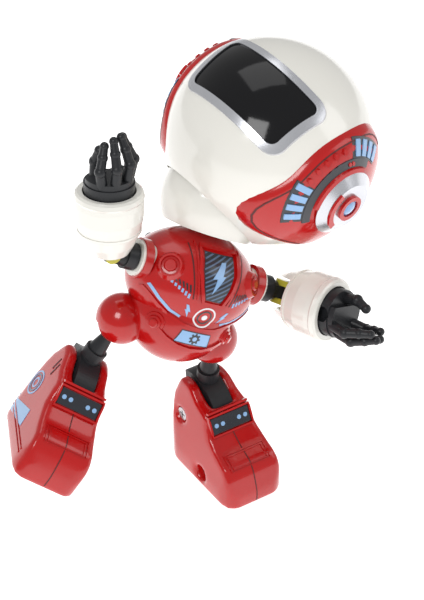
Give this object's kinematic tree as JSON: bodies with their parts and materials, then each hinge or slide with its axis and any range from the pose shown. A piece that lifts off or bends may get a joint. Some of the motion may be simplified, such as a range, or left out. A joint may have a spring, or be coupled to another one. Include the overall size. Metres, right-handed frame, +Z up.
{
  "type": "toy robot",
  "caption": "Posable toy robot with ball hips, hinged ankles, turning arms and neck, standing on its left foot with one arm and leg raised.",
  "frame": {"origin": "middle of the left foot's sole, on the surface that it stands on", "axes": "+Z up, -Y the way the left toe points, +X the robot's left"},
  "size_m": [0.113, 0.0759, 0.1197],
  "materials": {
    "red_gloss": "gloss",
    "red_ear": "gloss",
    "ivory_gloss": "gloss",
    "black_satin": "satin",
    "silver_gloss": "silver paint, gloss",
    "visor_black": "gloss",
    "yellow_gloss": "gloss",
    "steel": "bright",
    "light_blue": "clear, gloss",
    "board_green": "satin",
    "cell_metal": "satin"
  },
  "bodies": {
    "torso": {"torso_front_shell": "red_gloss", "torso_rear_shell": "red_gloss", "torso_screws": "steel", "shoulder_bush_left": "ivory_gloss", "shoulder_bush_right": "ivory_gloss"},
    "neck_post": {"neck_post": "black_satin", "neck_guard": "ivory_gloss"},
    "neck_cup": {"neck_cup": "black_satin"},
    "foot_left": {"foot_left_inner_half": "red_gloss", "foot_left_outer_half": "red_gloss", "foot_left_screw": "steel", "ankle_pin_left": "steel"},
    "knuckle_left": {"ankle_knuckle_left": "black_satin"},
    "leg_left": {"leg_stem_left": "black_satin", "hip_ball_left": "steel"},
    "hip_cup_left": {"hip_cup_left": "black_satin"},
    "arm_left": {"upper_arm_left": "black_satin"},
    "forearm_left": {"elbow_fork_left": "yellow_gloss", "elbow_pin_left": "steel", "forearm_cuff_left": "ivory_gloss"},
    "hand_left": {"hand_left": "black_satin"},
    "head": {"ear_cover_left": "red_ear", "ear_disc_left": "silver_gloss", "ear_boss_left": "red_ear", "ear_lens_left": "light_blue", "ear_cover_right": "red_ear", "ear_disc_right": "silver_gloss", "ear_boss_right": "red_ear", "ear_lens_right": "light_blue", "head_front_shell": "ivory_gloss", "head_rear_shell": "ivory_gloss", "visor_lens": "visor_black", "visor_bezel": "silver_gloss", "battery_door": "ivory_gloss", "battery_door_screw": "steel", "button_cells": "cell_metal", "circuit_board": "board_green", "eye_lights": "light_blue", "speaker": "cell_metal"},
    "foot_right": {"foot_right_inner_half": "red_gloss", "foot_right_outer_half": "red_gloss", "foot_right_screw": "steel", "ankle_pin_right": "steel"},
    "knuckle_right": {"ankle_knuckle_right": "black_satin"},
    "leg_right": {"leg_stem_right": "black_satin", "hip_ball_right": "steel"},
    "hip_cup_right": {"hip_cup_right": "black_satin"},
    "arm_right": {"upper_arm_right": "black_satin"},
    "forearm_right": {"elbow_fork_right": "yellow_gloss", "elbow_pin_right": "steel", "forearm_cuff_right": "ivory_gloss"},
    "hand_right": {"hand_right": "black_satin"}
  },
  "joints": [
    {"name": "hip_swing_left", "type": "hinge", "parent": "torso", "child": "hip_cup_left", "pos_m": [0, 0.00635, 0.04217], "axis": [0.8619, -0.2105, -0.4612], "range_deg": [-7, 6]},
    {"name": "hip_spread_left", "type": "hinge", "parent": "hip_cup_left", "child": "leg_left", "pos_m": [0, 0.00635, 0.04217], "axis": [0.309, 0.9393, 0.1488], "range_deg": [-15, 30]},
    {"name": "leg_turn_left", "type": "hinge", "parent": "leg_left", "child": "knuckle_left", "pos_m": [0, 0.0105, 0.016], "axis": [0, -0.1564, 0.9877], "range_deg": [-40, 20]},
    {"name": "ankle_left", "type": "hinge", "parent": "knuckle_left", "child": "foot_left", "pos_m": [0, 0.0105, 0.016], "axis": [1, 0, 0], "range_deg": [-14, 24]},
    {"name": "shoulder_left", "type": "hinge", "parent": "torso", "child": "arm_left", "pos_m": [0.01168, 0.00377, 0.05652], "axis": [0.8619, -0.2105, -0.4612], "range_deg": [-40, 60]},
    {"name": "elbow_left", "type": "hinge", "parent": "arm_left", "child": "forearm_left", "pos_m": [0.01892, 0.002, 0.05264], "axis": [0.5037, 0.2517, 0.8264], "range_deg": [-20, 60]},
    {"name": "wrist_left", "type": "hinge", "parent": "forearm_left", "child": "hand_left", "pos_m": [0.01892, 0.002, 0.05264], "axis": [0.2977, -0.9486, 0.1075], "range_deg": [-90, 90]},
    {"name": "hip_swing_right", "type": "hinge", "parent": "torso", "child": "hip_cup_right", "pos_m": [-0.02413, 0.01225, 0.05509], "axis": [0.8619, -0.2105, -0.4612], "range_deg": [-10, 6]},
    {"name": "hip_spread_right", "type": "hinge", "parent": "hip_cup_right", "child": "leg_right", "pos_m": [-0.02413, 0.01225, 0.05509], "axis": [0.2948, 0.9482, 0.1182], "range_deg": [-22, 29]},
    {"name": "leg_turn_right", "type": "hinge", "parent": "leg_right", "child": "knuckle_right", "pos_m": [-0.03777, 0.01918, 0.03345], "axis": [0.5144, -0.2617, 0.8166], "range_deg": [-20, 40]},
    {"name": "ankle_right", "type": "hinge", "parent": "knuckle_right", "child": "foot_right", "pos_m": [-0.03777, 0.01918, 0.03345], "axis": [0.7183, -0.3886, -0.5771], "range_deg": [-16, 22]},
    {"name": "shoulder_right", "type": "hinge", "parent": "torso", "child": "arm_right", "pos_m": [-0.01935, 0.01134, 0.07312], "axis": [0.8619, -0.2105, -0.4612], "range_deg": [-20, 110]},
    {"name": "elbow_right", "type": "hinge", "parent": "arm_right", "child": "forearm_right", "pos_m": [-0.02659, 0.01311, 0.077], "axis": [0.1945, 0.9774, -0.0827], "range_deg": [-60, 20]},
    {"name": "wrist_right", "type": "hinge", "parent": "forearm_right", "child": "hand_right", "pos_m": [-0.02659, 0.01311, 0.077], "axis": [-0.0772, -0.0688, -0.9946], "range_deg": [-90, 90]},
    {"name": "neck_yaw", "type": "hinge", "parent": "torso", "child": "neck_post", "pos_m": [0.00598, 0.01382, 0.08029], "axis": [0.5, 0.2019, 0.8422], "range_deg": [-30, 90]},
    {"name": "neck_pitch", "type": "hinge", "parent": "neck_post", "child": "neck_cup", "pos_m": [0.00598, 0.01382, 0.08029], "axis": [0.4255, -0.9043, -0.0358], "range_deg": [-3, 45]},
    {"name": "neck_roll", "type": "hinge", "parent": "neck_cup", "child": "head", "pos_m": [0.00598, 0.01382, 0.08029], "axis": [0.4174, 0.2311, -0.8789], "range_deg": [-40, 3]}
  ]
}
